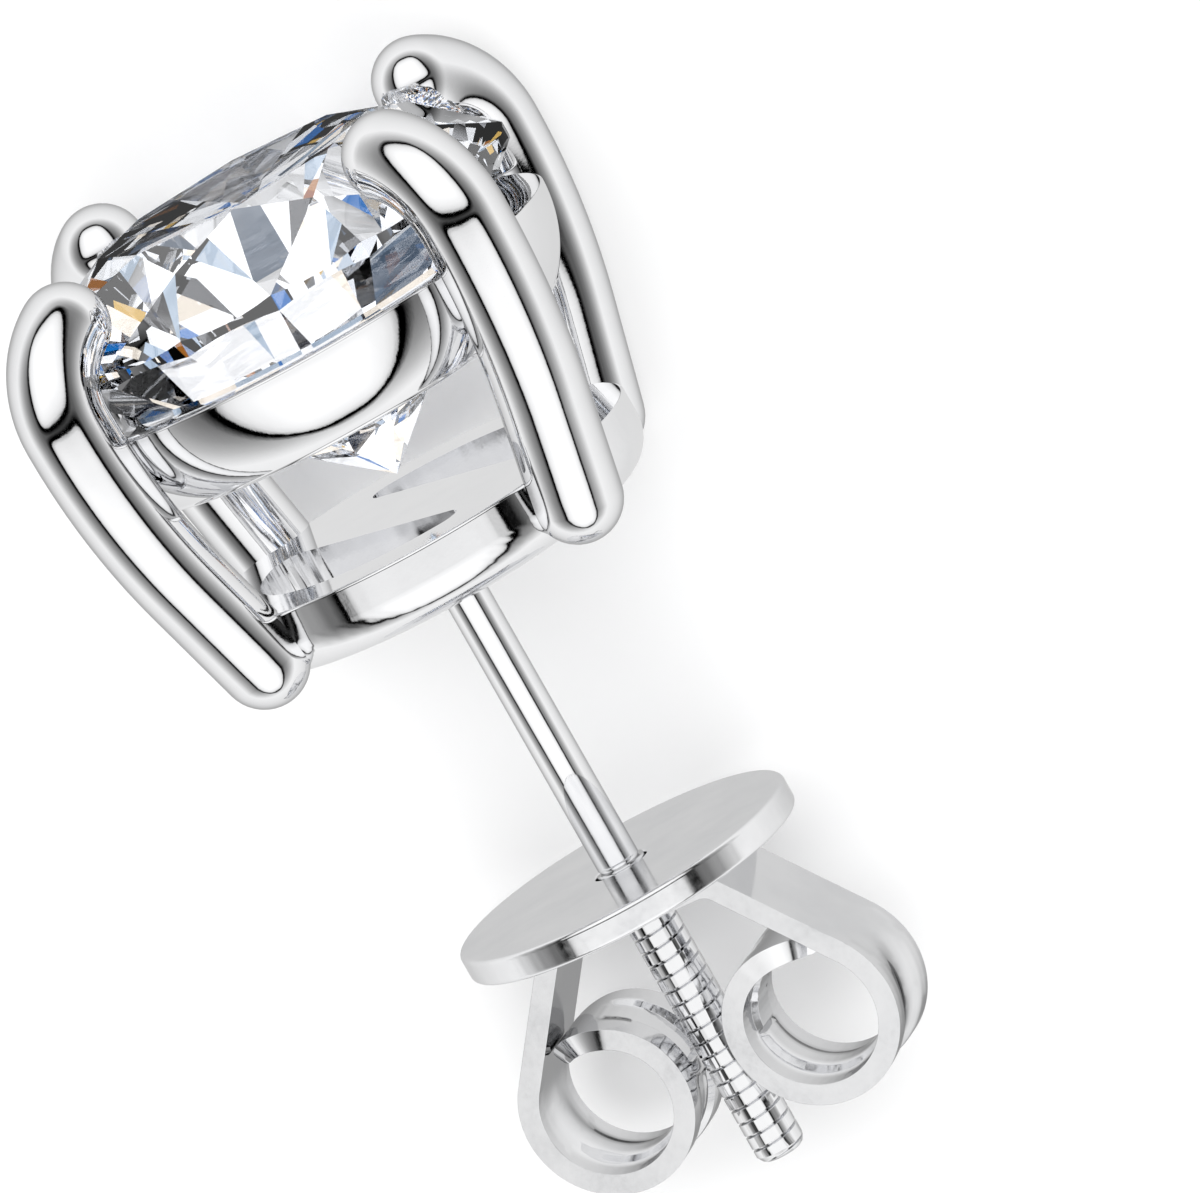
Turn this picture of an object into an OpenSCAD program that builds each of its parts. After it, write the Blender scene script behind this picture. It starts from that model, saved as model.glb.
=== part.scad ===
// Screw back stud earring: a round brilliant stone in a four-prong setting
// with a soldered threaded post, and a screw back made of a flat disc and a
// two-scroll clip.
// Every piece is drawn upright along the post's axis, with height 0 at the
// underside of the setting's base, the stone above and the post below.
// lay_down() then rests the stud on its side, on two prongs and the disc's rim.
// All sizes are in millimetres.

/* [Stone] */
// Diameter of the stone at its girdle
stone_d = 8.5; // [8.3:0.05:8.6]
// Width of the table as a share of the girdle
table_share = 0.58; // [0.54:0.01:0.62]
// Slope of the crown's main facets, in degrees
crown_angle = 34.5; // [33:0.5:36]
// Slope of the pavilion's main facets, in degrees
pavilion_angle = 42.5; // [41:0.5:43]
// Height of the girdle's band
girdle_h = 0.28; // [0.2:0.02:0.36]
// Turn of the stone between its prongs, in degrees
stone_turn = 6; // [0:1:8]

/* [Prongs] */
// Thickness of a prong
prong_d = 1.48; // [1.44:0.01:1.52]
// Distance of a prong's centre line from the axis, at the girdle
prong_reach = 5.08; // [5.04:0.01:5.1]
// Lean of a prong's lower half from the axis, in degrees
prong_lean = 17.5; // [16:0.5:18.5]
// Radius of the hook that bends over the crown
hook_r = 1.48; // [1.4:0.02:1.52]
// Angle that the hook turns through, in degrees
hook_sweep = 68; // [60:1:75]

/* [Seat ring] */
// Height of the seat ring's lower edge
seat_low_h = 3.3; // [3.1:0.05:3.5]
// Height of the seat ring's upper edge
seat_top_h = 4.82; // [4.7:0.02:4.9]
// Outer radius of the seat ring at its upper edge
seat_r = 4.37; // [4.35:0.01:4.38]
// Radius of the outward curve of its wall
seat_curve_r = 2.3; // [2.1:0.05:2.6]
// Radius of the round opening through it
seat_bore_r = 2.95; // [2.8:0.05:3.05]

/* [Base] */
// Radius of the base
base_r = 3.84; // [3.7:0.02:3.86]
// Thickness of the base
base_h = 1.2; // [1:0.05:1.3]
// Radius of the base's rounded lower edge
base_round_r = 0.7; // [0.5:0.05:0.8]
// Width of the bar between the two openings
bar_w = 1.8; // [1.5:0.1:2]
// Width of the rim around the openings
rim_w = 1; // [0.8:0.05:1.1]
// Radius of the openings' corners
corner_r = 0.35; // [0.2:0.05:0.4]

/* [Post] */
// Diameter of the smooth part of the post
post_d = 0.74; // [0.7:0.01:0.78]
// Length of the smooth part, from the base to the thread
smooth_len = 5.6; // [5.5:0.02:5.6]
// Diameter over the thread's crests
thread_d = 0.86; // [0.84:0.01:0.88]
// Diameter at the thread's roots
root_d = 0.7; // [0.66:0.01:0.74]
// Distance between two crests
pitch = 0.25; // [0.24:0.01:0.27]
// Number of crests
crests = 22; // [20:1:23]

/* [Screw back] */
// Distance from the setting's base to the disc's front
disc_at = 5.63; // [5.6:0.01:5.8]
// Diameter of the disc
disc_d = 6; // [5.8:0.1:6.1]
// Thickness of the disc
disc_t = 0.46; // [0.4:0.02:0.5]
// Radius of the softened edges of the disc
disc_edge_r = 0.08; // [0.04:0.01:0.12]
// Width of the clip's strip
strip_w = 1.8; // [1.5:0.1:2]
// Thickness of the clip's strip
strip_t = 0.36; // [0.3:0.02:0.38]
// Radius of a scroll, to the middle of the strip
scroll_r = 1.32; // [1.25:0.01:1.35]
// Distance of a scroll's centre behind the disc
scroll_drop = 2.95; // [2.8:0.05:3.1]
// Slope of the clip's arms, in degrees
arm_slope = 52; // [48:1:55]
// Turn of the clip about the post, in degrees
clip_turn = -14; // [-20:1:0]
// Radial gap between the holes or scrolls and the thread's crests
thread_gap = 0.045; // [0.03:0.005:0.08]

/* [Hidden] */
$fn = 64;

// Gap between the stone and the metal, and between the disc and the clip
seat_gap = 0.03;
clip_gap = 0.03;
// Rods and strips are built of stretches, each a hair fuller than the one
// before it, which runs a little way into it
hair = 0.005;
run_in = 0.05;
// Azimuths of the prongs, of the openings' bar and half a facet's step
prong_azimuths = [45, 135, 225, 315];
bar_azimuth = -45;
half_step = 22.5;
// A prong stays within this angle of a main facet's middle
prong_half_angle = 15;

// Stone: radii and heights of its corners
stone_r = stone_d / 2;
girdle_mid_h = 5.8;
girdle_top_h = girdle_mid_h + girdle_h / 2;
girdle_low_h = girdle_mid_h - girdle_h / 2;
crown_rise = tan(crown_angle);
pavilion_rise = tan(pavilion_angle);
table_r = stone_r * table_share;
table_h = girdle_top_h + (stone_r - table_r) * crown_rise;
star_r = (table_r * cos(half_step) + stone_r) / 2;
star_h = girdle_top_h + (stone_r - star_r * cos(half_step)) * crown_rise;
lower_share = 0.22;
lower_r = lower_share * stone_r;
lower_h = girdle_low_h - (stone_r - lower_r * cos(half_step)) * pavilion_rise;
culet_h = girdle_low_h - stone_r * pavilion_rise;

// Prong: its centre line is a straight foot, a slow bow and a hook
prong_r = prong_d / 2;
hook_h = 5.45;
bow_end_h = 2.3;
bow_r = (hook_h - bow_end_h) / sin(prong_lean);
bow_end_r = prong_reach - bow_r * (1 - cos(prong_lean));
foot_h = 0.55;
foot_r = bow_end_r - (bow_end_h - foot_h) * tan(prong_lean);
foot_len = (bow_end_h - foot_h) / cos(prong_lean);
tip_r = prong_reach - hook_r * (1 - cos(hook_sweep));
tip_h = hook_h + hook_r * sin(hook_sweep);

// Openings: the middles of their rounded corners
opening_r = base_r - rim_w;
corner_x = bar_w / 2 + corner_r;
corner_y = sqrt(pow(opening_r - corner_r, 2) - pow(corner_x, 2));
corner_reach = opening_r / (opening_r - corner_r);

// Post: a crest is a little crowned, and its flanks meet the next one's in a V
thread_len = crests * pitch;
post_len = smooth_len + thread_len;
flank_share = 0.2;
crest_crown = 0.01;
// The post is soldered into the base this deep
post_sink = 0.6;

// Screw back: heights and the clip's middle line
disc_r = disc_d / 2;
hole_r = thread_d / 2 + thread_gap;
disc_back_h = -(disc_at + disc_t);
strip_r = strip_t / 2;
strip_h = disc_back_h - clip_gap - strip_r;
scroll_x = thread_d / 2 + thread_gap + strip_r + scroll_r;
scroll_h = disc_back_h - scroll_drop;
bend_r = 0.45;
arm_top_h = strip_h - bend_r * (1 - cos(arm_slope));
arm_end_x = scroll_x + scroll_r * sin(arm_slope);
arm_end_h = scroll_h + scroll_r * cos(arm_slope);
arm_len = (arm_top_h - arm_end_h) / sin(arm_slope);
arm_top_x = arm_end_x - arm_len * cos(arm_slope);
bend_x = arm_top_x - bend_r * sin(arm_slope);
// The last part of a scroll runs in a tighter arc, clear of its own arm
tuck_share = 0.88;
tuck_r = tuck_share * scroll_r;
tuck_x = scroll_x - scroll_r + tuck_r;
tuck_end = 62;

// Lying pose: the stud leans until the disc's rim and two prongs touch the
// surface. The prongs stand half way round from straight down.
side = cos(prong_azimuths[0]);
most_lean = 20;
halvings = 24;
function prong_depth(t) =
    (prong_reach - bow_r) * side * cos(t) - hook_h * sin(t)
    + bow_r * sqrt(pow(side * cos(t), 2) + pow(sin(t), 2)) + prong_r;
function disc_depth(t) =
    (disc_r - disc_edge_r) * cos(t)
    - (disc_back_h + disc_edge_r) * sin(t) + disc_edge_r;
function level(low, high, steps) =
    let (mid = (low + high) / 2)
    steps == 0 ? mid
    : prong_depth(mid) > disc_depth(mid) ? level(mid, high, steps - 1)
    : level(low, mid, steps - 1);
lean = level(0, most_lean, halvings);
rest_h = disc_depth(lean);
front_x = -(tip_h * cos(lean) + tip_r * side * sin(lean) + prong_r);
back_x = post_len * cos(lean);
middle_x = (front_x + back_x) / 2;

module lay_down()
    translate([-middle_x, 0, rest_h])
        rotate([0, lean, 0])
            multmatrix([[0, 0, -1, 0], [-1, 0, 0, 0], [0, 1, 0, 0], [0, 0, 0, 1]])
                children();

// Corner number i of a ring of n corners
function ring_of(r, h, n, first) =
    [for (i = [0 : n - 1]) [r * cos(first + 360 * i / n), r * sin(first + 360 * i / n), h]];

module brilliant() {
    corners = concat(
        ring_of(table_r, table_h, 8, 0),
        ring_of(star_r, star_h, 8, half_step),
        ring_of(stone_r, girdle_top_h, 16, 0),
        ring_of(stone_r, girdle_low_h, 16, 0),
        ring_of(lower_r, lower_h, 8, half_step),
        [[0, 0, culet_h]]);
    // First corner of each ring
    star = 8;
    girdle = 16;
    under = 32;
    lower = 48;
    culet = 56;
    faces = concat(
        [[for (k = [7 : -1 : 0]) k]],
        [for (k = [0 : 7]) [(k + 1) % 8, star + k, k]],
        [for (k = [0 : 7]) [star + k, girdle + 2 * k, star + (k + 7) % 8, k]],
        [for (k = [0 : 7]) [girdle + 2 * k + 1, girdle + 2 * k, star + k]],
        [for (k = [0 : 7]) [girdle + (2 * k + 2) % 16, girdle + 2 * k + 1, star + k]],
        [for (i = [0 : 15]) [girdle + i, girdle + (i + 1) % 16, under + (i + 1) % 16, under + i]],
        [for (k = [0 : 7]) [under + 2 * k, under + 2 * k + 1, lower + k]],
        [for (k = [0 : 7]) [under + 2 * k + 1, under + (2 * k + 2) % 16, lower + k]],
        [for (k = [0 : 7]) [under + 2 * k, lower + k, culet, lower + (k + 7) % 8]]);
    polyhedron(points = corners, faces = faces);
}

// Room that the stone takes between the prongs and in the seat ring
module stone_room() {
    edge_r = stone_r + seat_gap;
    low_gap = seat_gap / cos(pavilion_angle);
    top_gap = seat_gap / cos(crown_angle);
    top_slope = crown_rise * cos(prong_half_angle);
    rotate_extrude()
        polygon([
            [0, culet_h - low_gap],
            [edge_r, culet_h - low_gap + edge_r * pavilion_rise],
            [edge_r, girdle_top_h + top_gap + stone_r * crown_rise - edge_r * top_slope],
            [0, girdle_top_h + top_gap + stone_r * crown_rise]]);
}

// One prong, in the plane of the axis and the X axis
module prong() {
    bow_run_in = 0.3;
    translate([foot_r, 0, foot_h])
        sphere(r = prong_r + 2 * hair, $fn = 32);
    translate([foot_r, 0, foot_h])
        rotate([0, prong_lean, 0])
            cylinder(r = prong_r, h = foot_len + run_in, $fn = 32);
    translate([prong_reach - bow_r, 0, hook_h])
        rotate([90, 0, 0])
            rotate([0, 0, -prong_lean])
                rotate_extrude(angle = prong_lean + bow_run_in, $fn = 180)
                    translate([bow_r, 0])
                        circle(r = prong_r + hair, $fn = 32);
    translate([prong_reach - hook_r, 0, hook_h])
        rotate([90, 0, 0])
            rotate_extrude(angle = hook_sweep, $fn = 64)
                translate([hook_r, 0])
                    circle(r = prong_r + 2 * hair, $fn = 32);
    translate([tip_r, 0, tip_h])
        sphere(r = prong_r + 4 * hair, $fn = 32);
}

module seat_ring() {
    rotate_extrude()
        intersection() {
            translate([seat_r - seat_curve_r, seat_top_h])
                circle(r = seat_curve_r, $fn = 96);
            translate([seat_bore_r, seat_low_h])
                square([seat_r - seat_bore_r, seat_top_h - seat_low_h]);
        }
}

// Flat outline of one opening: a half round with rounded corners
module opening_outline() {
    intersection() {
        circle(r = opening_r);
        polygon([
            [bar_w / 2, -corner_y],
            [corner_x * corner_reach, -corner_y * corner_reach],
            [opening_r * 2, -corner_y * corner_reach * 2],
            [opening_r * 2, corner_y * corner_reach * 2],
            [corner_x * corner_reach, corner_y * corner_reach],
            [bar_w / 2, corner_y]]);
    }
    for (end = [-1, 1])
        translate([corner_x, end * corner_y])
            circle(r = corner_r + hair, $fn = 32);
}

module base() {
    difference() {
        rotate_extrude() {
            translate([0, base_round_r])
                square([base_r, base_h - base_round_r]);
            square([base_r - base_round_r, base_h]);
            intersection() {
                translate([base_r - base_round_r, base_round_r])
                    circle(r = base_round_r);
                square([base_r, base_h]);
            }
        }
        for (turn = [0, 180])
            rotate([0, 0, bar_azimuth + 90 + turn])
                translate([0, 0, -base_h])
                    linear_extrude(height = 3 * base_h)
                        opening_outline();
    }
}

module post() {
    crest_r = thread_d / 2;
    root_r = root_d / 2;
    thread_low = -post_len;
    // Each crest, from its lower root up
    steps = [for (i = [0 : crests - 1]) each [
        [root_r, thread_low + i * pitch],
        [crest_r - crest_crown, thread_low + (i + flank_share) * pitch],
        [crest_r, thread_low + (i + 0.5) * pitch],
        [crest_r - crest_crown, thread_low + (i + 1 - flank_share) * pitch]]];
    rotate_extrude($fn = 48)
        polygon(concat(
            [[0, thread_low]],
            steps,
            [[root_r, -smooth_len], [post_d / 2, -smooth_len]],
            [[post_d / 2, post_sink], [0, post_sink]]));
}

module prong_setting()
    color("silver")
        lay_down() {
            difference() {
                union() {
                    seat_ring();
                    for (a = prong_azimuths)
                        rotate([0, 0, a])
                            prong();
                }
                stone_room();
            }
            base();
            post();
        }

module stone()
    color("aliceblue")
        lay_down()
            rotate([0, 0, stone_turn])
                brilliant();

module back_disc()
    color("gainsboro")
        lay_down()
            rotate_extrude($fn = 128)
                difference() {
                    union() {
                        translate([0, disc_back_h + disc_edge_r])
                            square([disc_r, disc_t - 2 * disc_edge_r]);
                        translate([0, disc_back_h])
                            square([disc_r - disc_edge_r, disc_t]);
                        for (h = [disc_edge_r, disc_t - disc_edge_r])
                            translate([disc_r - disc_edge_r, disc_back_h + h])
                                circle(r = disc_edge_r);
                    }
                    translate([0, disc_back_h - disc_t])
                        square([hole_r, 3 * disc_t]);
                }

// A straight stretch of the strip along the X axis, fuller by some hairs
module flat_strip(length, hairs)
    translate([0, -strip_w / 2 - hairs * hair, -strip_r - hairs * hair])
        cube([length, strip_w + 2 * hairs * hair, strip_t + 2 * hairs * hair]);

// A stretch bent to an arc about the Y axis, between two angles
module bent_strip(r, from_angle, to_angle, hairs)
    rotate([90, 0, 0])
        rotate([0, 0, from_angle])
            rotate_extrude(angle = to_angle - from_angle, $fn = 96)
                translate([r - strip_r - hairs * hair, -strip_w / 2 - hairs * hair])
                    square([strip_t + 2 * hairs * hair, strip_w + 2 * hairs * hair]);

// One arm of the clip with its scroll, on the side of positive X
module clip_arm() {
    tuck_run_in = 2;
    translate([0, 0, strip_h])
        flat_strip(bend_x + run_in, 0);
    translate([bend_x, 0, strip_h - bend_r])
        bent_strip(bend_r, 90 - arm_slope, 90, 1);
    translate([arm_top_x, 0, arm_top_h])
        rotate([0, arm_slope, 0])
            translate([-run_in, 0, 0])
                flat_strip(arm_len + 2 * run_in, 0);
    translate([scroll_x, 0, scroll_h])
        bent_strip(scroll_r, -180, 90 - arm_slope, 1);
    translate([tuck_x, 0, scroll_h])
        bent_strip(tuck_r, tuck_end, 180 + tuck_run_in, 0);
    translate([tuck_x + tuck_r * cos(tuck_end), 0, scroll_h + tuck_r * sin(tuck_end)])
        rotate([90, 0, 0])
            cylinder(r = strip_r + hair, h = strip_w + 2 * hair, center = true, $fn = 32);
}

module back_clip()
    color("lightgray")
        lay_down()
            rotate([0, 0, clip_turn])
                difference() {
                    union() {
                        clip_arm();
                        mirror([1, 0, 0])
                            clip_arm();
                    }
                    translate([0, 0, strip_h - strip_t])
                        cylinder(r = hole_r, h = 2 * strip_t, $fn = 48);
                }

prong_setting();
stone();
back_disc();
back_clip();
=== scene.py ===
import math

import bmesh
import bpy
from bpy.props import FloatProperty, FloatVectorProperty, IntProperty, PointerProperty
from mathutils import Matrix, Vector


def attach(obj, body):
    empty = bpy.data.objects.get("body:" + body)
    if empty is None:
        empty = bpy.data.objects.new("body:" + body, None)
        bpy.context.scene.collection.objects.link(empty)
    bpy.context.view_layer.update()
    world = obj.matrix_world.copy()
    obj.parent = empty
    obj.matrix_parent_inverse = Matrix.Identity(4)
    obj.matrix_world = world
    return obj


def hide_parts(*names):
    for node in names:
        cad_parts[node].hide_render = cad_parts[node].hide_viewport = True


bl_info = {
    "name": "Screw Back Stud Earring",
    "version": (1, 0, 0),
    "blender": (4, 5, 0),
    "location": "3D View > Sidebar > Earring",
    "description": "Builds a round brilliant stud earring with a threaded post and a screw back",
    "category": "Add Mesh",
}

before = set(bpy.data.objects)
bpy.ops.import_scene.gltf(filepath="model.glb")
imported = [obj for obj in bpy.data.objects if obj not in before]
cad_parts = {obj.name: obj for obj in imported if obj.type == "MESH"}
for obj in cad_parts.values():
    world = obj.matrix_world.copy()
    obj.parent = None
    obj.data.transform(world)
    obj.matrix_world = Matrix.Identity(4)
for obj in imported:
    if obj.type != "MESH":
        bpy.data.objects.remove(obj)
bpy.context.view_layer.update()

# Pieces are modelled upright in millimetres, with the post's axis along Z and height 0 at
# the underside of the base. Each is laid down in the frame when it is finished.
MM = 0.001
LEAN = math.radians(7.24081)
MIDDLE_X = 1.56670
REST_H = 3.73421
LAY_DOWN = (
    Matrix.Scale(MM, 4)
    @ Matrix.Translation((-MIDDLE_X, 0, REST_H))
    @ Matrix.Rotation(LEAN, 4, "Y")
    @ Matrix(((0, 0, -1, 0), (-1, 0, 0, 0), (0, 1, 0, 0), (0, 0, 0, 1)))
)
WELD = 1e-4
ON_PLANE = 1e-5
PRONG_AZIMUTHS = (45, 135, 225, 315)
BAR_AZIMUTH = -45
STONE_GAP = 0.03
EDGE_ROUND = 0.05
ROUND_BIG = 192
ROUND_SMALL = 64


# Sizes and colours that a user may change

def length(name, description, value):
    return FloatProperty(name=name, description=description, default=value * MM,
                         min=0.0, precision=5, subtype="DISTANCE", unit="LENGTH")


def angle(name, description, value):
    return FloatProperty(name=name, description=description, default=math.radians(value),
                         subtype="ANGLE", unit="ROTATION")


def share(name, description, value):
    return FloatProperty(name=name, description=description, default=value,
                         min=0.0, max=1.0, subtype="FACTOR")


def colour(name, description, value):
    return FloatVectorProperty(name=name, description=description, default=value,
                               size=3, min=0.0, max=1.0, subtype="COLOR")


class EarringStoneSizes(bpy.types.PropertyGroup):
    girdle_d: length("Diameter", "Diameter of the stone at its girdle", 8.5)
    girdle_mid_h: length("Girdle height", "Height of the girdle above the base", 5.8)
    girdle_h: length("Girdle thickness", "Thickness of the girdle at its thick places", 0.28)
    table_share: share("Table", "Width of the table as a share of the diameter", 0.58)
    lower_share: share("Lower halves", "Where the lower halves meet, from the culet", 0.22)
    crown_angle: angle("Crown angle", "Slope of the crown's main facets", 34.5)
    pavilion_angle: angle("Pavilion angle", "Slope of the pavilion's main facets", 42.5)
    turn: angle("Turn", "Turn of the stone between its prongs", 6)
    girdle_facets: IntProperty(name="Girdle facets", description="Small facets round the girdle",
                               default=96, min=16)
    tint: colour("Tint", "Body colour of the stone", (0.985, 0.99, 1.0))


class EarringSettingSizes(bpy.types.PropertyGroup):
    prong_d: length("Prong thickness", "Diameter of a prong", 1.48)
    prong_reach: length("Prong reach", "Distance of a prong's middle from the axis", 5.08)
    prong_lean: angle("Prong lean", "Lean of a prong's lower half", 17.5)
    bow_end_h: length("Bow start", "Height at which a prong begins to curve", 2.3)
    foot_h: length("Foot height", "Height of the middle of a prong's round foot", 0.55)
    hook_h: length("Hook height", "Height at which a prong bends over the stone", 5.45)
    hook_r: length("Hook radius", "Radius of the bend over the stone", 1.48)
    hook_sweep: angle("Hook sweep", "Angle of the bend over the stone", 68)
    ring_low_h: length("Ring lower edge", "Height of the seat ring's lower edge", 3.3)
    ring_top_h: length("Ring upper edge", "Height of the seat ring's upper edge", 4.82)
    ring_r: length("Ring radius", "Outer radius of the seat ring at its upper edge", 4.37)
    ring_curve_r: length("Ring curve", "Radius of the outward curve of its wall", 2.3)
    ring_bore_r: length("Ring bore", "Radius of the opening through it", 2.95)
    base_r: length("Base radius", "Radius of the base", 3.84)
    base_h: length("Base thickness", "Thickness of the base", 1.2)
    base_round_r: length("Base rounding", "Radius of the base's lower edge", 0.7)
    bar_w: length("Bar width", "Width of the bar between the two openings", 1.8)
    rim_w: length("Rim width", "Width of the rim round the openings", 1.0)
    corner_r: length("Corner radius", "Radius of the openings' corners", 0.35)


class EarringPostSizes(bpy.types.PropertyGroup):
    shank_d: length("Shank", "Diameter of the plain part of the post", 0.74)
    shank_len: length("Shank length", "Length of the plain part of the post", 5.6)
    thread_d: length("Thread", "Diameter over the thread's crests", 0.86)
    root_d: length("Roots", "Diameter at the thread's roots", 0.7)
    pitch: length("Pitch", "Distance between two crests", 0.25)
    turns: IntProperty(name="Turns", description="Turns of the thread", default=22, min=1)


class EarringBackSizes(bpy.types.PropertyGroup):
    disc_at: length("Disc's place", "Distance from the base to the disc's front", 5.63)
    disc_d: length("Disc", "Diameter of the disc", 6.0)
    disc_t: length("Disc thickness", "Thickness of the disc", 0.46)
    hole_r: length("Hole", "Radius of the hole for the post", 0.475)
    strip_w: length("Strip width", "Width of the clip's strip", 1.8)
    strip_t: length("Strip thickness", "Thickness of the clip's strip", 0.36)
    scroll_r: length("Scroll radius", "Radius of a scroll, to the strip's middle", 1.32)
    scroll_drop: length("Scroll drop", "Distance of a scroll's centre behind the disc", 2.95)
    bend_r: length("Bend radius", "Radius of the bend from the flat into an arm", 0.45)
    arm_slope: angle("Arm slope", "Slope of the clip's arms", 52)
    clip_turn: angle("Clip turn", "Turn of the clip about the post", -14)
    groove: length("Groove", "Depth of the groove pressed along a scroll", 0.11)


class EarringFinish(bpy.types.PropertyGroup):
    metal: colour("Metal", "Colour of the polished metal", (0.93, 0.932, 0.94))
    metal_shade: colour("Metal shade", "Colour of the metal where it is duller", (0.84, 0.845, 0.86))
    floor: colour("Floor", "Colour of the floor", (0.93, 0.93, 0.93))


class EarringStage(bpy.types.PropertyGroup):
    above_girdle: angle("Above the girdle", "Camera's height above the girdle's plane", 10.5)
    round_axis: angle("Round the axis", "Camera's turn about the post's axis", 10)
    roll: angle("Roll", "Slope of the stud's width in the picture", 29.59)
    frame_w: length("Picture width", "Width of the picture at the stud", 19.355)
    distance: length("Distance", "Distance of the camera", 200)
    aim_w: length("Aim along the post", "Where the camera aims, below the base", 1.62)
    aim_u: length("Aim across the post", "Where the camera aims, beside the axis", 1.86)
    light: FloatProperty(name="Light", description="Strength of the studio's light",
                         default=1.12, min=0.0)
    lamp: FloatProperty(name="Lamp", description="Power of the floor's soft lamp in watts",
                        default=8.5, min=0.0)


def mm(metres):
    return metres / MM


# Small hand steps that the pieces are made with

NEARLY_CLOSED = 0.004


def clear_bench():
    if bpy.context.object and bpy.context.object.mode != "OBJECT":
        bpy.ops.object.mode_set(mode="OBJECT")
    bpy.ops.object.select_all(action="DESELECT")


def take(name):
    """The new primitive, named, with its place in its mesh and in edit mode."""
    piece = bpy.context.object
    piece.name = piece.data.name = name
    bpy.ops.object.transform_apply(location=True, rotation=True, scale=True)
    bpy.ops.object.mode_set(mode="EDIT")
    bpy.ops.mesh.select_mode(type="VERT")
    bpy.ops.mesh.select_all(action="SELECT")
    return piece


def pick(piece, kind, rule):
    """Selects only the corners or faces of the piece that the rule accepts."""
    bpy.ops.mesh.select_mode(type="FACE" if kind == "faces" else "VERT")
    bpy.ops.mesh.select_all(action="DESELECT")
    work = bmesh.from_edit_mesh(piece.data)
    work.normal_update()
    for part in getattr(work, kind):
        part.select_set(bool(rule(part)))
    bmesh.update_edit_mesh(piece.data)


def move(x, y, z):
    bpy.ops.mesh.extrude_region_move(TRANSFORM_OT_translate={"value": (x, y, z)})


def bend(steps, sweep, centre):
    """Extrudes the selected end along an arc about the Y axis, from +Z towards +X."""
    for _ in range(steps):
        bpy.ops.mesh.extrude_region_move(TRANSFORM_OT_translate={"value": (0, 0, 0)})
        bpy.ops.transform.rotate(value=-sweep / steps, orient_axis="Y",
                                 center_override=(centre[0], 0, centre[1]))


def round_end(middle, along, r, steps):
    """Closes the selected end with a dome."""
    done, size = 0.0, 1.0
    for step in range(1, steps + 1):
        reach = math.sin(step / steps * math.pi / 2) * r
        width = max(math.cos(step / steps * math.pi / 2), NEARLY_CLOSED)
        move(*(Vector(along) * (reach - done)))
        at = Vector(middle) + Vector(along) * reach
        bpy.ops.transform.resize(value=(width / size,) * 3, center_override=at)
        done, size = reach, width
    bpy.ops.mesh.merge(type="COLLAPSE")


def weld_and_face_out():
    bpy.ops.mesh.select_all(action="SELECT")
    bpy.ops.mesh.remove_doubles(threshold=WELD)
    bpy.ops.mesh.normals_make_consistent(inside=False)


def traced(name, points, closed):
    """A line drawn from point to point, each given as X and height."""
    clear_bench()
    bpy.ops.mesh.primitive_plane_add(size=1)
    piece = take(name)
    bpy.ops.mesh.merge(type="CENTER")
    spots = [Vector((x, 0, h)) for x, h in points]
    bpy.ops.transform.translate(value=spots[0])
    if closed:
        spots.append(spots[0])
    for a, b in zip(spots, spots[1:]):
        bpy.ops.mesh.extrude_vertices_move(TRANSFORM_OT_translate={"value": b - a})
    bpy.ops.mesh.select_all(action="SELECT")
    if closed:
        bpy.ops.mesh.remove_doubles(threshold=WELD / 10)
    return piece


def turned(name, outline, around, closed=True):
    """An outline of radii and heights turned round the axis."""
    piece = traced(name, outline, closed)
    bpy.ops.mesh.spin(steps=around, angle=2 * math.pi, center=(0, 0, 0), axis=(0, 0, 1))
    weld_and_face_out()
    bpy.ops.object.mode_set(mode="OBJECT")
    return piece


def arc(centre, r, start, end, steps):
    """Points on an arc between two angles in degrees."""
    turns = [math.radians(start + (end - start) * i / steps) for i in range(steps + 1)]
    return [(centre[0] + r * math.cos(t), centre[1] + r * math.sin(t)) for t in turns]


def apply_modifier(piece, kind, **settings):
    clear_bench()
    bpy.context.view_layer.objects.active = piece
    piece.select_set(True)
    modifier = piece.modifiers.new(kind.title(), kind)
    for key, value in settings.items():
        setattr(modifier, key, value)
    bpy.ops.object.modifier_apply(modifier=modifier.name)


def cut(piece, cutter, operation="DIFFERENCE"):
    apply_modifier(piece, "BOOLEAN", operation=operation, object=cutter, solver="EXACT")
    bpy.data.objects.remove(cutter, do_unlink=True)


def soften(piece, width, limit=40):
    """Rounds the edges that are sharper than the limit, in degrees."""
    apply_modifier(piece, "BEVEL", width=width, segments=3, limit_method="ANGLE",
                   angle_limit=math.radians(limit), miter_outer="MITER_ARC",
                   use_clamp_overlap=True)
    bpy.ops.object.mode_set(mode="EDIT")
    bpy.ops.mesh.select_all(action="SELECT")
    bpy.ops.mesh.dissolve_degenerate(threshold=WELD)
    bpy.ops.mesh.normals_make_consistent(inside=False)
    bpy.ops.object.mode_set(mode="OBJECT")


def turn_about_axis(piece, degrees):
    clear_bench()
    bpy.context.view_layer.objects.active = piece
    piece.select_set(True)
    piece.rotation_euler = (0, 0, math.radians(degrees))
    bpy.ops.object.transform_apply(location=False, rotation=True, scale=False)


def finish_piece(piece, material, body, cad_node, smooth=35, flats=False):
    """Shades the piece, lays it down in the frame and hands it to its body."""
    clear_bench()
    bpy.context.view_layer.objects.active = piece
    piece.select_set(True)
    if smooth:
        bpy.ops.object.shade_smooth_by_angle(angle=math.radians(smooth))
    if flats:
        apply_modifier(piece, "WEIGHTED_NORMAL", keep_sharp=True, weight=90, thresh=0.0)
    piece.matrix_world = LAY_DOWN
    bpy.ops.object.transform_apply(location=True, rotation=True, scale=True)
    piece.data.materials.clear()
    piece.data.materials.append(material)
    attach(piece, body)
    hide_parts(cad_node)


# Materials

STONE_IOR = 2.42
FAINT = 0.985


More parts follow.
